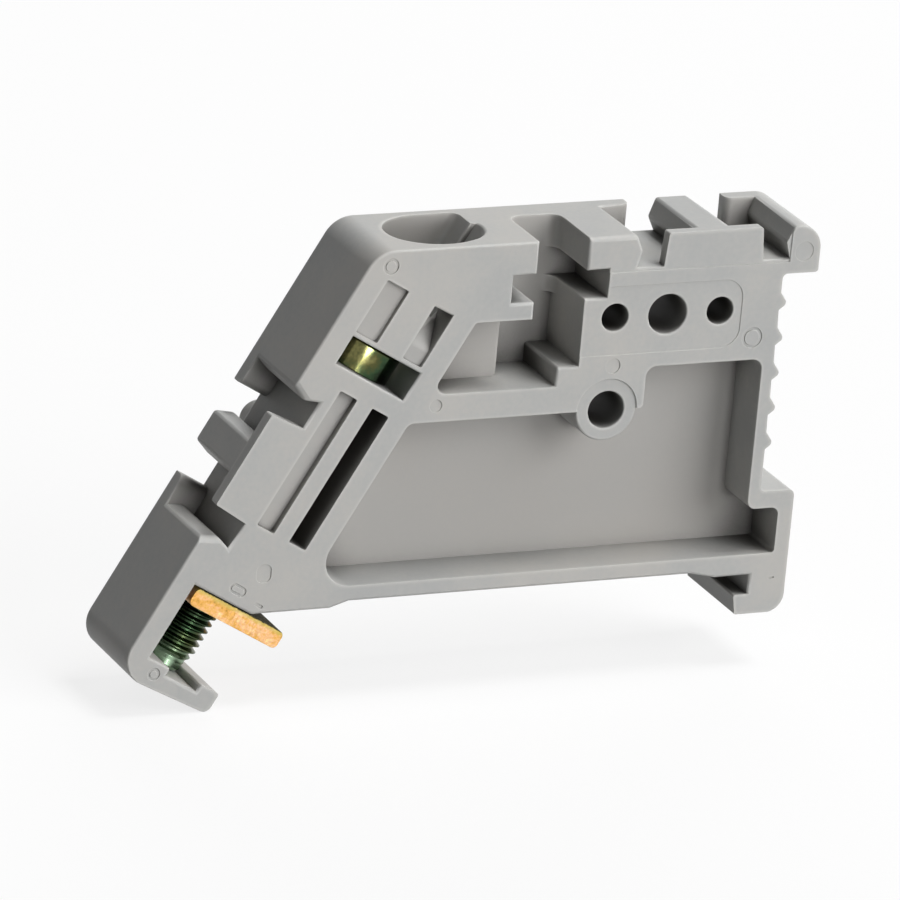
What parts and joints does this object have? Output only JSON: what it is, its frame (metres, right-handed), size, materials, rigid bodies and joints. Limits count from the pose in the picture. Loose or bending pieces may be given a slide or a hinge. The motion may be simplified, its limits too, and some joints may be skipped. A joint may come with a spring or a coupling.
{
  "type": "din rail end stop",
  "caption": "End stop for a 35 mm top-hat rail: a moulded body hooks one flange, and a screw along its slanted arm draws a clamp plate up under the other.",
  "frame": {"origin": "on the rail's centre line, half-way through the body's 7 mm thickness, in the plane of the body's seat on the rail", "axes": "+X across the rail from the clamping side to the hook side, +Y along the rail towards the side with the locating pin, +Z away from the rail"},
  "size_m": [0.0459, 0.0085, 0.0301],
  "materials": {
    "grey_plastic": "satin moulded polyamide",
    "green_passivated_steel": "dark green passivated zinc plate, turned and threaded",
    "yellow_passivated_steel": "yellow passivated zinc plate, sheared edges"
  },
  "bodies": {
    "housing": {"moulded_body": "grey_plastic"},
    "screw": {"clamp_screw": "green_passivated_steel"},
    "plate": {"clamp_plate": "yellow_passivated_steel"}
  },
  "joints": [
    {"name": "screw_turn", "type": "hinge", "parent": "housing", "child": "screw", "pos_m": [-0.01448, 0, 0.00836], "axis": [0.5, 0, 0.866], "range_deg": [0, 2880]},
    {"name": "plate_slide", "type": "slide", "parent": "housing", "child": "plate", "axis": [-0.5, 0, -0.866], "range_m": [0, 0.004]}
  ],
  "couplings": [
    {"joint": "screw_turn", "follows": "plate_slide", "rad_per_m": 12566}
  ]
}
